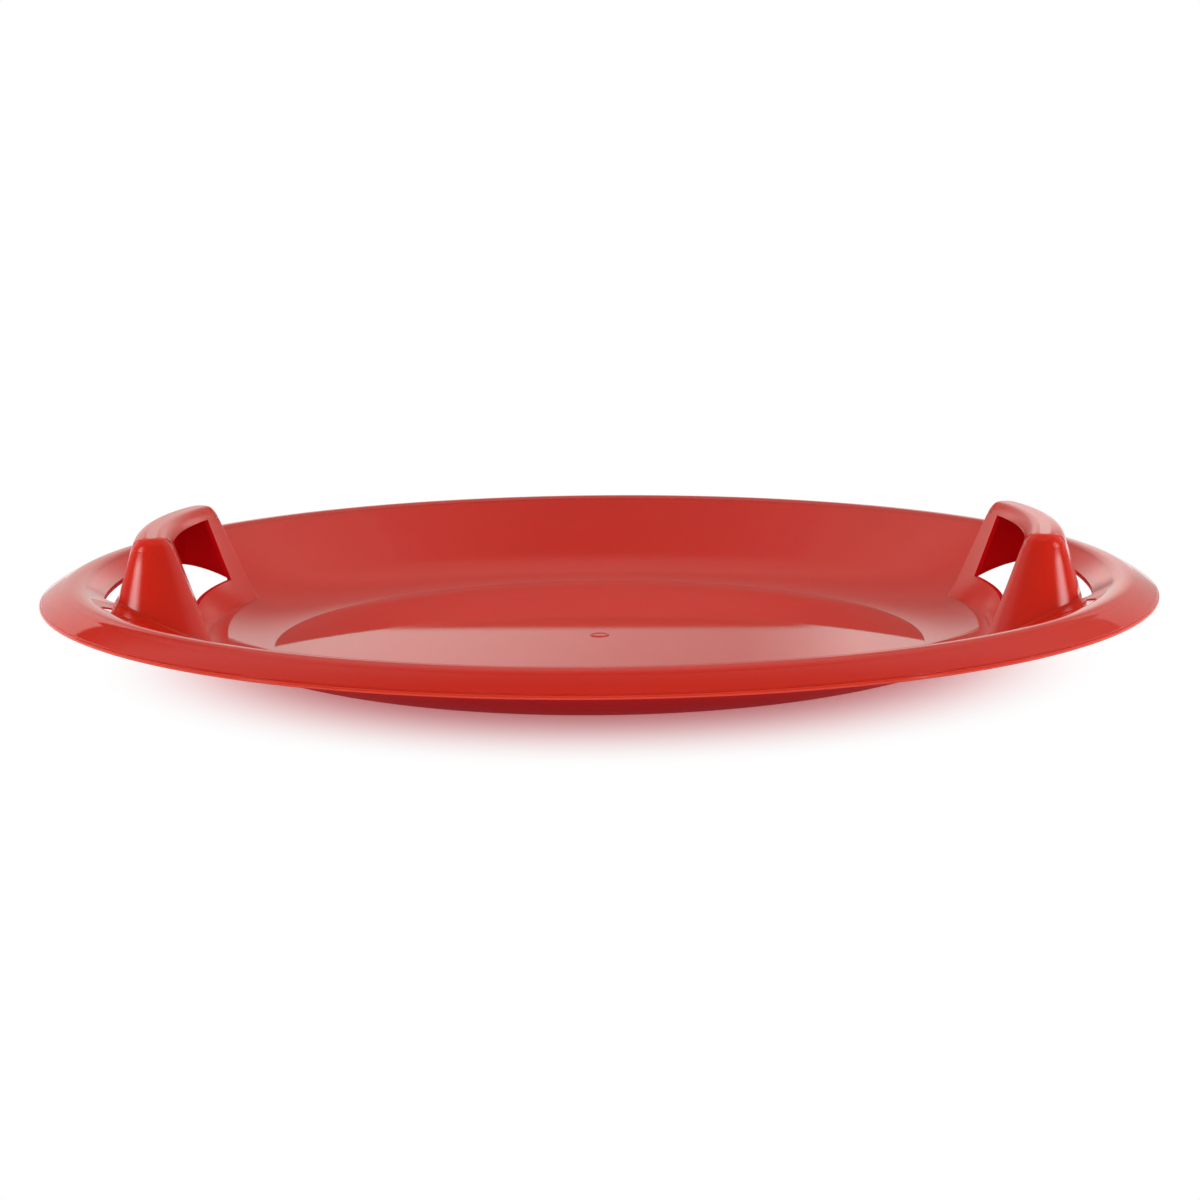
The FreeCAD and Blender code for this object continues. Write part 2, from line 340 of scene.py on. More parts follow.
def rimSection(depth, edgeRound):
    # round of the crest from the wall's slope to the rim's fall, then a slightly bowed band with a rounded end
    radius = dish["crestRadius"] - depth
    slopes = np.linspace(rise, -fall, rim["crestRows"])
    crest = np.stack([crestX - radius * np.sin(slopes), crestZ + radius * np.cos(slopes)], 1)
    edgeRows = rim["edgeRows"] if edgeRound else 0
    endR = dish["lipRadius"] - edgeRound * (1 - math.sin(fall))
    share = np.linspace(0, 1, rim["bandRows"] + rim["edgeRows"] - edgeRows + 1)[1:]
    bandR = crest[-1, 0] + (endR - crest[-1, 0]) * share
    bow = rim["bow"] * 4 * share * (1 - share)
    band = np.stack([bandR, crest[-1, 1] - (bandR - crest[-1, 0]) * math.tan(fall) + bow], 1)
    bandSlopes = rim["bow"] * 4 * (1 - 2 * share) / (endR - crest[-1, 0]) - fall
    turn = np.linspace(-fall, -math.pi / 2, edgeRows + 1)[1:]
    centre = band[-1] - edgeRound * np.array([math.sin(fall), math.cos(fall)])
    edge = centre + edgeRound * np.stack([-np.sin(turn), np.cos(turn)], 1)
    return np.concatenate([crest, band, edge]), np.concatenate([slopes, bandSlopes, turn])


rimTop, rimTopSlopes = rimSection(0.0, rim["edgeRound"])
rimUnder, rimUnderSlopes = rimSection(thick, 0.0)
buildPiece("rolledRim", [shell(turned(rimTop, fullTurn), turned(rimUnder, fullTurn), wrap=True,
                               outerNormals=sectionNormals(rimTopSlopes, fullTurn),
                               innerNormals=sectionNormals(rimUnderSlopes, fullTurn, -1))],
           ["rolled_rim"])

# Lip bead: a round strip along the lip's lower edge, flat underneath, its red painted a shade lighter to stand in for
# the light falling on it
bead = dict(radius=1.2, rows=15, down=25.0, lift=0.5, sunk=0.6)
lipUnderZ = rimUnder[-1, 1]
beadTurn = np.linspace(math.pi / 2, -math.radians(bead["down"]), bead["rows"])
beadOuter = np.stack([dish["lipRadius"] + bead["radius"] * np.cos(beadTurn),
                      lipUnderZ + bead["lift"] + bead["radius"] * (np.sin(beadTurn) - np.sin(beadTurn[-1]))], 1)
beadInner = np.stack([0 * beadTurn + dish["lipRadius"] - bead["sunk"], beadOuter[:, 1]], 1)
buildPiece("lipBead", [shell(turned(beadOuter, fullTurn), turned(beadInner, fullTurn), wrap=True)],
           ["rim_bead"], (redEdge, redUnderside))
print("stage: floor, rim and bead")

# Handles: hollow humps about the dish's axis. At each height the outline is an inner and an outer arc about the
# axis and a round nose at each end, with rounded corners between them.
grip = dict(height=75.4, innerFoot=230.0, innerTop=255.8, outerFoot=297.5, outerTop=274.8, footLength=145.0,
            topLength=122.5, footBulge=21.0, topBulge=6.5, topRound=9.2, corner=3.0, topCorner=2.2,
            noseEdge=4.0, leastNose=0.8, leastRound=0.3, topLine=(0.4, 0.4, -0.8, 0.5, -0.5), bowFrom=60.0,
            windowHalf=47.3, windowLow=30.0, windowHigh=68.6, midRise=22.0, lift=0.5)
slot = dict(middle=287.2, angle=17.3, spread=3.9, halfWidth=3.0)    # angle in degrees, spread at that angle
segments = (("innerWindow", 24), ("innerEnd", 12), ("innerCorner", 8), ("nose", 40),
            ("outerCorner", 12), ("outerEnd", 10), ("outerWindow", 24))


def circleMeet(radiusAboutAxis, centre, radius):
    # where a circle about the axis meets a circle about centre, on the far side along the handle
    away = np.linalg.norm(centre, axis=-1)
    along = (radiusAboutAxis ** 2 - radius ** 2 + away ** 2) / (2 * away)
    across = np.sqrt(np.maximum(radiusAboutAxis ** 2 - along ** 2, 0))
    n = centre / away[..., None]
    return along[..., None] * n + across[..., None] * np.stack([-n[..., 1], n[..., 0]], -1)


def arcPoints(centre, start, end, share):
    # points on the arc about centre from start to end, clockwise seen from above
    a, b = start - centre, end - centre
    angle = np.arctan2(a[..., 1], a[..., 0])
    turn = np.mod(angle - np.arctan2(b[..., 1], b[..., 0]), 2 * math.pi)
    radius = np.linalg.norm(a, axis=-1)
    now = angle - turn * share
    return centre + radius[..., None] * np.stack([np.cos(now), np.sin(now)], -1)


topBase = grip["height"] - grip["topRound"]


def faceRadius(z, inset, foot, top, side):
    # radius of the inner (side 1) or outer (side -1) face at height z: a leaning line, then the round of the top
    lean = math.atan(side * (top - foot) / grip["height"])
    radius = grip["topRound"] - inset
    line = foot + (top - foot) * z / grip["height"] + side * inset
    onBase = foot + (top - foot) * topBase / grip["height"] + side * inset
    over = z - topBase
    onRound = onBase + side * (radius / math.cos(lean) - np.sqrt(np.maximum(radius ** 2 - over ** 2, 0)))
    return np.where(over > radius * math.sin(lean), onRound, line)


def archHeight(r, inset, foot, top, side):
    # height of the cross-section's round above radius r, on the inner (side 1) or outer (side -1) face
    lean = math.atan(side * (top - foot) / grip["height"])
    radius = grip["topRound"] - inset
    middle = foot + (top - foot) * topBase / grip["height"] + side * (inset + radius / math.cos(lean))
    return topBase + np.sqrt(np.maximum(radius ** 2 - np.maximum(side * (middle - r), 0) ** 2, 0))


def noseSetback(arch, z, inset):
    # how far the nose stands behind its full outline, at height z below a round that ends at height arch:
    # a quarter round, whole along the flat top and fading to nothing down the sides
    radius = max(grip["noseEdge"] - inset, grip["leastRound"])
    over = np.clip(radius - (arch - z), 0, radius)
    return np.clip((arch - topBase) / (grip["topRound"] - inset), 0, 1) * (radius - np.sqrt(radius ** 2 - over ** 2))


def halfOutline(z, inset):
    # rear half of the outline at height z, inset from its outside, from the middle of the inner arc
    # round the nose to the middle of the outer arc; z holds a value for each row and column
    faces = ((grip["innerFoot"], grip["innerTop"], 1), (grip["outerFoot"], grip["outerTop"], -1))
    window = grip["windowHalf"]
    columns, start = [], 0
    for kind, count in segments:
        share = (np.arange(count) / count)[None, :]
        zz = z[:, start:start + count]
        up = zz / grip["height"]
        innerR = grip["innerFoot"] + (grip["innerTop"] - grip["innerFoot"]) * up
        outerR = grip["outerFoot"] + (grip["outerTop"] - grip["outerFoot"]) * up
        length = (grip["footLength"] + (grip["topLength"] - grip["footLength"]) * up) / 2
        bulge = grip["footBulge"] + (grip["topBulge"] - grip["footBulge"]) * up
        angle = np.arcsin(length / innerR)
        chord = (outerR - innerR) / 2
        noseR = (chord ** 2 + bulge ** 2) / (2 * bulge)
        radial = np.stack([np.cos(angle), np.sin(angle)], -1)
        along = np.stack([-np.sin(angle), np.cos(angle)], -1)
        nose = radial * ((innerR + outerR) / 2)[..., None] + along * (bulge - noseR)[..., None]
        innerR, outerR = (faceRadius(zz, inset, *face) for face in faces)
        fullR = noseR - inset
        noseR = np.maximum(fullR - noseSetback(zz, zz, inset), grip["leastNose"])
        toTop = np.clip((zz - topBase) / grip["topRound"], 0, 1)
        corner = grip["corner"] + (grip["topCorner"] - grip["corner"]) * toTop - inset
        corner = np.maximum(corner, grip["leastRound"])
        first = circleMeet(innerR + corner, nose, noseR - corner)
        second = circleMeet(outerR - corner, nose, noseR - corner)
        onInner = unit(first) * innerR[..., None]
        onOuter = unit(second) * outerR[..., None]
        noseFrom = nose + unit(first - nose) * noseR[..., None]
        noseTo = nose + unit(second - nose) * noseR[..., None]
        if kind == "innerWindow":
            y, r = window * share + 0 * zz, innerR
        elif kind == "innerEnd":
            y, r = window + (onInner[..., 1] - window) * share, innerR
        elif kind == "outerEnd":
            y, r = onOuter[..., 1] + (window - onOuter[..., 1]) * share, outerR
        elif kind == "outerWindow":
            y, r = window * (1 - share) + 0 * zz, outerR
        if kind == "innerCorner":
            xy = arcPoints(first, onInner, noseFrom, share)
        elif kind == "nose":
            xy = arcPoints(nose, noseFrom, noseTo, share)
            r = np.linalg.norm(xy, axis=-1)
            fromInner = innerR + r - np.linalg.norm(noseFrom, axis=-1)
            fromOuter = outerR + r - np.linalg.norm(noseTo, axis=-1)
            arch = np.minimum(archHeight(fromInner, inset, *faces[0]), archHeight(fromOuter, inset, *faces[1]))
            setR = np.maximum(fullR - noseSetback(arch, zz, inset), grip["leastNose"])
            xy = nose + unit(xy - nose) * setR[..., None]
        elif kind == "outerCorner":
            xy = arcPoints(second, noseTo, onOuter, share)
        else:
            xy = np.stack([np.sqrt(r ** 2 - y ** 2), y], -1)
        columns.append(xy)
        start += count
    last = np.stack([outerR[:, -1], 0 * outerR[:, -1]], -1)[:, None]
    return np.concatenate(columns + [last], 1)


halfColumns = sum(count for _, count in segments) + 1
loopColumns = 2 * halfColumns - 2
noseStart, noseCount = sum(count for _, count in segments[:3]), segments[3][1]
handleRows = dict(foot=14, side=22, crown=24, settle=12)
midHeights = grip["windowLow"] + grip["midRise"] * smooth((np.arange(halfColumns) - noseStart) / noseCount)[None, :]


def handleLoop(z, inset):
    # points of the whole outline: the rear half, then its mirror image back along the front
    rear = np.concatenate([halfOutline(z, inset), z[..., None]], -1)
    return np.concatenate([rear, rear[:, -2:0:-1] * np.array([1.0, -1.0, 1.0])], 1)


def footHeights(inset, depth, lift):
    # height of each column where the handle, inset, meets the wall depth below its upper face, by repeated trial
    z = np.full((1, halfColumns), grip["windowLow"])
    for _ in range(handleRows["settle"]):
        z = wallHeight(np.linalg.norm(halfOutline(z, inset), axis=-1), depth) + lift
    return z


def climb(start, end, count):
    # count rows from start towards end, which is the first row of what follows
    return start + (end - start) * (np.arange(count) / count)[:, None]


def handleSurface(inset):
    # rows climb from the foot to the window's sill and lintel, then over the top round by equal turns:
    # z = base + R sin(turn)
    radius = grip["topRound"] - inset
    foot = footHeights(inset, thick, grip["lift"])
    turns = np.linspace(math.asin((grip["windowHigh"] - topBase) / radius), math.pi / 2, handleRows["crown"] + 1)
    z = np.concatenate([climb(foot, midHeights, handleRows["foot"]),
                        climb(midHeights, grip["windowHigh"], handleRows["side"]),
                        topBase + radius * np.sin(turns)[:, None] + 0 * foot])
    points = handleLoop(z, inset)
    height, bowFrom = points[..., 2], grip["bowFrom"]
    along = 2 * points[..., 1] / (grip["topLength"] + 2 * grip["topBulge"])
    bow = np.polynomial.polynomial.polyval(along, grip["topLine"])      # the top bows and dips a little to the front
    points[..., 2] = height + bow * smooth((height - bowFrom) / (grip["height"] - bowFrom))
    return points


handleOuter, handleInner = handleSurface(0.0), handleSurface(thick)
print("stage: handle surfaces", handleOuter.shape)


def withCap(points):
    # one more row closes the top on its middle line: the mean of each column and the one across from it
    opposite = np.mod(halfColumns - 1 - np.arange(loopColumns), loopColumns)
    return np.concatenate([points, (points[-1:] + points[-1:, opposite]) / 2], 0)


def handleNormals(points):
    # differences on the smooth part; the top line and the cap look straight up
    normals = gridNormals(points, wrap=True)
    upwards = np.zeros((1, loopColumns, 3)) + np.array([0.0, 0.0, 1.0])
    return np.concatenate([normals[:-1], upwards, upwards], 0)


outerNormals, innerNormals = handleNormals(handleOuter), -handleNormals(handleInner)
handleOuter, handleInner = withCap(handleOuter), withCap(handleInner)

# Which cells belong to which zone: window columns and post columns, rows below, in and above the window
cellRows, windowCols = len(handleOuter) - 1, segments[0][1]
windowFrom = handleRows["foot"]
windowTo = windowFrom + handleRows["side"]
column = np.arange(loopColumns)
rearColumn = np.where(column < halfColumns - 1, column, loopColumns - 1 - column)   # cell's place in its half
isFront = column >= halfColumns - 1
innerSpan = rearColumn < windowCols
outerSpan = rearColumn >= halfColumns - 1 - windowCols
postSpan = ~innerSpan & ~outerSpan
rowNumber = np.arange(cellRows)[:, None]
zones = {
    "Sill": (rowNumber < windowFrom) & innerSpan,
    "Grip": ((rowNumber >= windowTo) & innerSpan) | (outerSpan & (rowNumber >= 0)),
    "FrontPost": (rowNumber >= 0) & postSpan & isFront,
    "RearPost": (rowNumber >= 0) & postSpan & ~isFront,
}


def slotDistance(r, angle):
    # distance outside the slot, a bar with round ends on a line whose radius grows with the angle squared
    end = math.radians(slot["angle"])
    nearest = np.clip(angle, -end, end)
    line = slot["middle"] + slot["spread"] * (nearest / end) ** 2
    gap = np.hypot(r * np.cos(angle) - line * np.cos(nearest), r * np.sin(angle) - line * np.sin(nearest))
    return gap - slot["halfWidth"]


def wallNormals(r, angle, depth=0.0):
    slope = wallSlopeAt(r, depth)
    return polar(-np.sin(slope), angle, np.cos(slope))


def wallFaces(r, angle, share=1.0):
    # the wall's upper face, its under face and the normals of both; the under face is moved out
    # by share x thickness x sin(slope), and not at all at the crease
    underR = np.where(r <= floorRadius + tiny, floorRadius, r + share * thick * np.sin(wallSlopeAt(r)))
    return (polar(r, angle, wallHeight(r)), polar(underR, angle, wallHeight(underR, thick)),
            wallNormals(r, angle), -wallNormals(underR, angle, thick))


# Foot strip: a hollow strip between the wall and the handle, a quadratic curve from a point on the wall over the
# corner line to a point on the handle. It is nearly sharp along the handle's inner face, wider round the nose, and
# fades out at the slot's ends.
strip = dict(width=0.12, noseTimes=9.0, noseFrom=34, noseOver=12, slotGap=0.2, slotOver=9.0, least=0.02, lift=0.01,
             rows=9, sunk=0.5, depth=0.7, keepFrom=0.25)
footZ = footHeights(0.0, 0.0, 0.0)
footLine = handleLoop(footZ, 0.0)[0]
footR, footAngle = np.hypot(footLine[:, 0], footLine[:, 1]), np.arctan2(footLine[:, 1], footLine[:, 0])
fromSlot = slotDistance(footR, footAngle)
toNose = smooth((np.arange(halfColumns) - strip["noseFrom"]) / strip["noseOver"])
widths = strip["width"] * (1 + (strip["noseTimes"] - 1) * np.concatenate([toNose, toNose[-2:0:-1]]))
reach = widths * smooth((fromSlot - strip["slotGap"]) / strip["slotOver"]) + strip["least"]
upLine = handleLoop(footZ + reach[None, :halfColumns], 0.0)[0]
footAlong = unit(np.roll(footLine, -1, 0) - np.roll(footLine, 1, 0))
wallUp = wallNormals(footR, footAngle)
onWall = footLine + reach[:, None] * np.cross(wallUp, footAlong)
onWall[:, 2] = wallHeight(np.hypot(onWall[:, 0], onWall[:, 1])) + strip["lift"]
s = np.linspace(0, 1, strip["rows"])[:, None, None]
stripOuter = (1 - s) ** 2 * onWall + 2 * s * (1 - s) * footLine + s ** 2 * upLine
sunkLine = footLine - strip["sunk"] * unit(wallUp + outerNormals[0])
stripInner = stripOuter + strip["depth"] * (sunkLine - stripOuter)
nextSlot = np.minimum(fromSlot, np.roll(fromSlot, -1))
stripKeep = np.repeat(nextSlot[None] > strip["keepFrom"], strip["rows"] - 1, 0)

# Bay: the wall around each handle, with a hole inside the handle's shell and along the slot's outer edge.
# Rows are closer together near the hole.
bay = dict(halfAngle=23.0, middle=286.6, handleMiddle=262.0, rows=26, rowPower=1.25, inset=2.4,
           reach=110.0, tries=2181, halvings=26)
holeLine = handleLoop(footHeights(bay["inset"], thick, 0.0), bay["inset"])[0]
holeR, holeAngle = np.hypot(holeLine[:, 0], holeLine[:, 1]), np.arctan2(holeLine[:, 1], holeLine[:, 0])


def ringPatch(holeR, holeT, edgeR, edgeAngle, middleAngle, scale, rows, shiftShare):
    # straight lines in (radius, arc length) from the hole's outline to the patch's edge; the under face is moved out
    # by shiftShare of its shift at the hole and fully at the edge
    v = (np.linspace(0, 1, rows) ** bay["rowPower"])[:, None]
    r = holeR + (edgeR - holeR) * v
    angle = middleAngle + (holeT + (edgeAngle * scale - middleAngle * scale - holeT) * v) / scale
    return wallFaces(r, angle, shiftShare + (1 - shiftShare) * v)


wallGrid = dict(slotFrom=282.0, slotTo=299.0, lowerRows=47, slotRows=35, upperRows=6)   # closer where the slots end
wallRadii = np.concatenate([np.linspace(floorRadius, wallGrid["slotFrom"], wallGrid["lowerRows"])[:-1],
                            np.linspace(wallGrid["slotFrom"], wallGrid["slotTo"], wallGrid["slotRows"])[:-1],
                            np.linspace(wallGrid["slotTo"], crestStartR, wallGrid["upperRows"])])


def patchEdge(radii, angles):
    # closed edge of a patch: crest side, one end, crease side, other end; each point once
    r = np.concatenate([0 * angles[:-1] + radii[-1], radii[:0:-1], 0 * angles[:0:-1] + radii[0], radii[:-1]])
    a = np.concatenate([angles[:-1], 0 * radii[:0:-1] + angles[-1], angles[:0:-1], 0 * radii[:-1] + angles[0]])
    return r, a


bayAngles = columnAngles(-bay["halfAngle"], bay["halfAngle"])
bayR, bayA = patchEdge(wallRadii, bayAngles)
bearing = np.arctan2(bayA * bay["middle"], bayR - bay["middle"])
handleBearing = np.arctan2(holeAngle * bay["handleMiddle"], holeR - bay["handleMiddle"])
handleReach = np.hypot(holeAngle * bay["handleMiddle"], holeR - bay["handleMiddle"])
order = np.argsort(handleBearing)


def outsideHole(distance):
    # above zero outside both the handle's outline and the slot, along each bearing from the slot's middle
    r = bay["middle"] + distance * np.cos(bearing)
    angle = distance * np.sin(bearing) / bay["middle"]
    over, aside = r - bay["handleMiddle"], angle * bay["handleMiddle"]
    outline = np.interp(np.arctan2(aside, over), handleBearing[order], handleReach[order], period=2 * math.pi)
    return np.minimum(np.hypot(over, aside) - outline, slotDistance(r, angle))


# the hole's outline: the last step inside it along each bearing, then halvings of the step after that
steps = np.linspace(1, bay["reach"], bay["tries"])[:, None]
inside = outsideHole(steps) < 0
lastInside = bay["tries"] - 1 - np.argmax(inside[::-1], 0)
near, far = steps[lastInside, 0], steps[np.minimum(lastInside + 1, bay["tries"] - 1), 0]
for _ in range(bay["halvings"]):
    midway = (near + far) / 2
    within = outsideHole(midway) < 0
    near, far = np.where(within, midway, near), np.where(within, far, midway)
bayOuter, bayInner, bayUp, bayDown = ringPatch(
    bay["middle"] + near * np.cos(bearing), near * np.sin(bearing), bayR, bayA, 0.0, bay["middle"], bay["rows"], 0.0)
nextR = np.roll(bayR, -1)
onCrest = (bayR > crestStartR - tiny) & (nextR > crestStartR - tiny)
onCrease = (bayR < floorRadius + tiny) & (nextR < floorRadius + tiny)
atRear = ~onCrest & ~onCrease & (bayA > 0)
atFront = ~onCrest & ~onCrease & (bayA < 0)


def bayShell(columns):
    keep = np.zeros((bay["rows"] - 1, 1), bool) | columns[None]
    return shell(bayOuter, bayInner, keep, True, bayUp, bayDown)


# Tow hole: a round hole square to the wall, in a small patch of its own
tow = dict(r=300.1, angle=-25.4954, radius=2.5, fromRow=66, fromAngle=-27.0, toAngle=-24.0, rows=9)
towAngles = columnAngles(tow["fromAngle"], tow["toAngle"])
towR, towA = patchEdge(wallRadii[tow["fromRow"]:], towAngles)
towMiddle = math.radians(tow["angle"])
towBearing = np.arctan2((towA - towMiddle) * tow["r"], (towR - tow["r"]) / math.cos(rise))
towPatch = ringPatch(tow["r"] + tow["radius"] * math.cos(rise) * np.cos(towBearing), tow["radius"] * np.sin(towBearing),
                     towR, towA, towMiddle, tow["r"], tow["rows"], 1.0)
towShell = shell(*towPatch[:2], None, True, *towPatch[2:])


def wallSector(angles, keep=None):
    # the plain wall between the handles' bays
    faces = wallFaces(*np.broadcast_arrays(wallRadii[:, None], angles[None, :]))
    return shell(*faces[:2], keep, False, *faces[2:])


rearAngles = columnAngles(bay["halfAngle"], 180 - bay["halfAngle"])
frontAngles = columnAngles(bay["halfAngle"] - 180, -bay["halfAngle"])
frontKeep = np.ones((len(wallRadii) - 1, len(frontAngles) - 1), bool)
towFrom = int(np.argmin(np.abs(frontAngles - towAngles[0])))
frontKeep[tow["fromRow"]:, towFrom:towFrom + len(towAngles) - 1] = False
buildPiece("rearWall", [wallSector(rearAngles), bayShell(atRear), mirrored(bayShell(atRear))], ["rear_wall"])
buildPiece("frontWall", [wallSector(frontAngles, frontKeep), towShell, bayShell(atFront), mirrored(bayShell(atFront))],
           ["front_wall"])
for side, place in (("right", lambda part: part), ("left", mirrored)):
    buildPiece(side + "WallToe", [place(bayShell(onCrease))], [side + "_wall_toe"])
    buildPiece(side + "WallShoulder", [place(bayShell(onCrest))], [side + "_wall_shoulder"])
    for zone, node in (("Sill", "_sill"), ("Grip", "_grip"), ("FrontPost", "_front_post"), ("RearPost", "_rear_post")):
        parts = [place(shell(handleOuter, handleInner, zones[zone], True, outerNormals, innerNormals))]
        if zone != "Grip":
            footShell = shell(stripOuter, stripInner, stripKeep & zones[zone][:1], True)
            parts.append(place(inOneFinish(footShell, 2)))
        buildPiece(side + zone, parts, [side + node], (redHandle, redUnderside, redFillet))
print("stage: walls and handles")


def placed(xAxis, yAxis, zAxis, origin):
    return Matrix([*zip(xAxis, yAxis, zAxis, origin), (0, 0, 0, 1)])


# Camera: fitted to the photo's rim, crease and handle outlines, for an image of 1200 x 1200
lens = dict(focalPixels=2023.866, imagePixels=1200, distance=1.218141, height=0.242193 + floorTop * mm,
            aside=0.00041, pitch=0.179, yaw=0.025, roll=-0.009, sensor=36.0, near=0.01, far=100.0)
cosYaw, sinYaw = math.cos(lens["yaw"]), math.sin(lens["yaw"])
yawTurn = np.array([[cosYaw, -sinYaw, 0], [sinYaw, cosYaw, 0], [0, 0, 1]])
levelRight = yawTurn @ np.array([1.0, 0, 0])
levelUp = yawTurn @ np.array([0, math.sin(lens["pitch"]), math.cos(lens["pitch"])])
forward = yawTurn @ np.array([0, math.cos(lens["pitch"]), -math.sin(lens["pitch"])])
cameraRight = math.cos(lens["roll"]) * levelRight + math.sin(lens["roll"]) * levelUp
cameraUp = -math.sin(lens["roll"]) * levelRight + math.cos(lens["roll"]) * levelUp
spot = yawTurn @ np.array([lens["aside"], -lens["distance"], lens["height"]])
camera = addObject("camera", bpy.data.cameras.new("camera"))
camera.data.sensor_width = lens["sensor"]
camera.data.lens = lens["sensor"] * lens["focalPixels"] / lens["imagePixels"]
camera.data.clip_start, camera.data.clip_end = lens["near"], lens["far"]
camera.matrix_world = placed(cameraRight, cameraUp, -forward, spot)
bpy.context.scene.camera = camera

# Floor: white and slightly glossy. Near the sled it has a little pink light of its own, a painted glow standing in for
# red light from the sled, and further off it is plain white to the camera and in reflections.
stage = dict(size=40.0, drop=0.0003, colour=(0.9, 0.9, 0.9, 1), roughness=0.3, cloth=0.05, clothScale=3.0,
             clothDetail=2.0, lift=(0.36, 0.16, 0.17, 1), bounce=0.39, nearTo=0.19, farFrom=0.305)
white, black = (1, 1, 1, 1), (0, 0, 0, 1)


def seenRays(w):
    # one for rays from the camera, in reflections and through clear things, else zero
    rays = w.node("LightPath")
    return rays + rays.output("Is Glossy Ray") + rays.output("Is Transmission Ray")


def floorMaterial():
    material = bpy.data.materials.new("paleFloor")
    w = newTree(material)
    seen = seenRays(w)
    place = w.node("TexCoord", out=3)
    cloth = w.node("TexNoise", inputs={"Vector": place, "Scale": stage["clothScale"], "Detail": stage["clothDetail"]})
    away = w.node("VectorMath", {"operation": "LENGTH"}, {0: place}, out=1)
    body = w.node("BsdfPrincipled", inputs={"Base Color": stage["colour"],
                                            "Roughness": stage["roughness"] + stage["cloth"] * cloth})
    # painted pink glow standing in for red light from the sled; rays other than seen ones get it at the bounce strength
    paintedPinkGlow = w.node("Emission", inputs={"Color": stage["lift"], "Strength": 1.0})
    bounced = w.node("Emission", inputs={"Color": stage["lift"], "Strength": stage["bounce"]})
    glow = w.node("MixShader", inputs={0: seen, 1: bounced, 2: paintedPinkGlow})
    near = w.node("AddShader", inputs={0: body, 1: glow})
    far = w.node("Emission", inputs={"Color": white, "Strength": 1.0})
    toFar = away.ease(stage["nearTo"], stage["farFrom"]) * seen
    w.node("OutputMaterial", inputs={"Surface": w.node("MixShader", inputs={0: toFar, 1: near, 2: far})})
    return material


def stageSheet(name, corners, material):
    mesh = bpy.data.meshes.new(name)
    mesh.from_pydata(corners, [], [(0, 1, 2, 3)])
    mesh.materials.append(material)
    return addObject(name, mesh)


halfSize = stage["size"] / 2
floorPlane = stageSheet("paleFloor", [(x * halfSize, y * halfSize, -stage["drop"])
                                      for x, y in ((-1, -1), (1, -1), (1, 1), (-1, 1))], floorMaterial())

# World: what is seen of it is white low down and a grey studio above, darker in front.
# All other rays get soft light, strongest low down behind and to the sides.
sky = dict(low=0.05, high=0.70, rearward=2.1, aside=1.5, whiteTo=0.11, greyFrom=0.16, front=0.08, frontTo=-0.15,
           sides=0.45, sidesFrom=0.3, overhead=0.25, overheadFrom=0.75, overheadTo=0.96)
world = bpy.data.worlds.new("studio")
bpy.context.scene.world = world
w = newTree(world)
east = w.node("SeparateXYZ", inputs={0: w.node("TexCoord", out=0)})
north, height = east.output("Y"), east.output("Z")
around = north.ease(sky["frontTo"], sky["sidesFrom"], sky["front"], sky["sides"])
grey = around + (sky["overhead"] - around) * height.ease(sky["overheadFrom"], sky["overheadTo"])
studio = 1.0 + (grey - 1.0) * height.ease(sky["whiteTo"], sky["greyFrom"])
above = w.calc("MAXIMUM", height)
lowLying = sky["rearward"] * w.calc("MAXIMUM", north) + sky["aside"] * w.calc("ABSOLUTE", east)
soft = sky["low"] + sky["high"] * above + lowLying * (1.0 - above)
plain = w.node("Background", inputs={"Color": white, "Strength": soft})
backdrop = w.node("Background", inputs={"Color": white, "Strength": studio})
w.node("OutputWorld", inputs={"Surface": w.node("MixShader", inputs={0: seenRays(w), 1: plain, 2: backdrop})})

# Backdrop panel, seen in reflections only: a glow that changes along it, duller higher up, with a dim foot in the
# middle, a dull red strip across that foot painted to stand in for a reflection of the sled's red wall, and a wing to
# the left and right that is bright below a clear edge
panel = dict(away=2.0, halfWidth=3.0, height=2.4, tint=(1.0, 0.985, 0.94),
             glow=((-3.0, 0.45), (-1.5, 0.66), (-0.8, 0.80), (-0.5, 0.92), (-0.3, 0.80), (0.0, 0.56), (0.18, 0.50),
                   (0.27, 0.66), (0.37, 1.0), (0.75, 1.08), (1.1, 0.62), (3.0, 0.45)),
             middle=0.33, middleFrom=0.45, middleTo=0.9, top=0.5, topFrom=1.25, topTo=1.7,
             wingFrom=0.95, wingTo=1.25, wingTurn=1.0, wingEdge=(1.10, 1.17), wingLow=(0.74, 0.52),
             wingHigh=(0.10, 0.24), wingTop=0.42,
             line=0.389, lineDepth=0.09, lineGain=2.0, lineMiddle=-0.06, lineHalf=0.39, lineFull=0.8,
             paintedRedReflection=(0.38, 0.11, 0.09, 1), dim=0.35, footFrom=0.15, footTo=0.36, brightFrom=0.44, brightTo=0.62)


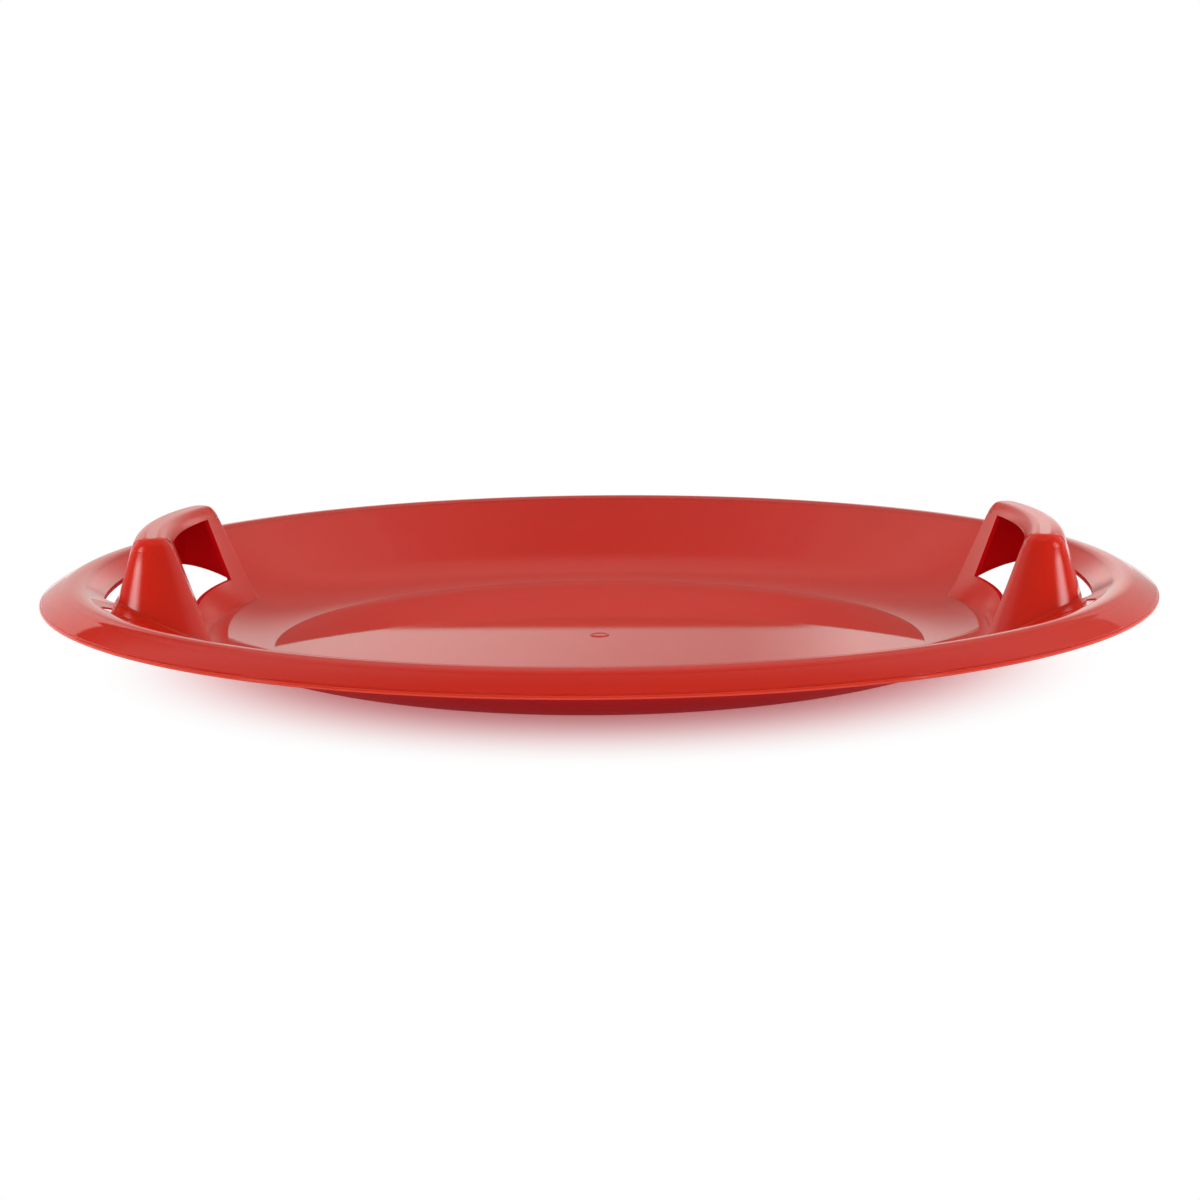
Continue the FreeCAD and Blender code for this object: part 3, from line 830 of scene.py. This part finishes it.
def panelMaterial():
    material = bpy.data.materials.new("backdropPanel")
    w = newTree(material)
    across = w.node("SeparateXYZ", inputs={0: w.node("TexCoord", out=3)})
    up, aside = across.output("Z"), w.calc("ABSOLUTE", across)

    def tinted(level):
        return tuple(level * t for t in panel["tint"]) + (1,)

    width = 2 * panel["halfWidth"]
    stops = [(x / width + 0.5, tinted(level)) for x, level in panel["glow"]]
    shade = w.node("ValToRGB", {"stops": stops}, {0: across / width + 0.5})
    for part in ("middle", "top"):
        shade = up.ease(panel[part + "From"], panel[part + "To"]).blend(shade, tinted(panel[part]))
    # wings: bright below the edge, dark above it, and paler again towards the top
    toRight = across.ease(-panel["wingTurn"], panel["wingTurn"])
    low, high = (toRight.blend(*map(tinted, panel[part])) for part in ("wingLow", "wingHigh"))
    high = up.ease(panel["wingEdge"][1], panel["height"]).blend(high, tinted(panel["wingTop"]))
    wing = up.ease(*panel["wingEdge"]).blend(low, high)
    shade = aside.ease(panel["wingFrom"], panel["wingTo"]).blend(shade, wing)
    # the strip, painted dull red to stand in for the floor's reflection of the sled's red wall, has a sharp upper edge
    # and fades downwards
    under = w.calc("MAXIMUM", 1.0 - (panel["line"] - up) / panel["lineDepth"]) * w.calc("LESS_THAN", up, panel["line"])
    offMiddle = w.calc("ABSOLUTE", across - panel["lineMiddle"])
    ends = offMiddle.ease(panel["lineFull"] * panel["lineHalf"], panel["lineHalf"], 1.0, 0.0)
    line = w.calc("MINIMUM", panel["lineGain"] * under, 1.0) * ends
    shade = line.blend(shade, panel["paintedRedReflection"])
    # the foot is dim in the middle, except in the strip
    foot = w.calc("MAXIMUM", up.ease(panel["footFrom"], panel["footTo"], panel["dim"], 1.0),
                  aside.ease(panel["brightFrom"], panel["brightTo"]))
    shade = (foot + line * (1.0 - foot)).blend(black, shade)
    w.node("OutputMaterial", inputs={"Surface": w.node("Emission", inputs={"Color": shade, "Strength": 1.0})})
    return material


wide, tall, away = panel["halfWidth"], panel["height"], panel["away"]
panelPlane = stageSheet("backdropPanel", [(-wide, away, 0), (wide, away, 0), (wide, away, tall), (-wide, away, tall)],
                        panelMaterial())
for kind in ("camera", "diffuse", "transmission", "volume_scatter", "shadow"):
    setattr(panelPlane, "visible_" + kind, False)

# Two soft boxes in front, left and right, that show in the handles' noses, and a soft fill that shows in nothing
noseBox = dict(elevation=24, away=0.5, size=(0.29, 0.36), watts=0.12, spread=38, shows=True)
boxes = (dict(noseBox, name="leftBox", azimuth=-55, aim=(-0.235, -0.07, 0.04)),
         dict(noseBox, name="rightBox", azimuth=55, aim=(0.235, -0.07, 0.04)),
         dict(name="frontFill", azimuth=0, elevation=38, away=0.55, size=(0.7, 0.3), watts=0.85, spread=180,
              aim=(0.0, -0.33, 0.03), shows=False))
for box in boxes:
    lamp = bpy.data.lights.new(box["name"], "AREA")
    lamp.shape, lamp.energy, lamp.spread = "RECTANGLE", box["watts"], math.radians(box["spread"])
    lamp.size, lamp.size_y = box["size"]
    lampObject = addObject(box["name"], lamp)
    lampObject.visible_camera, lampObject.visible_glossy = False, box["shows"]
    azimuth, elevation = math.radians(box["azimuth"]), math.radians(box["elevation"])
    level = np.array([math.cos(azimuth), math.sin(azimuth), 0])
    back = np.array([math.sin(azimuth) * math.cos(elevation), -math.cos(azimuth) * math.cos(elevation),
                     math.sin(elevation)])
    lampObject.matrix_world = placed(level, np.cross(back, level), back, back * box["away"] + np.array(box["aim"]))

bpy.context.scene.view_settings.view_transform = "Standard"
print("stage: camera, floor and light")
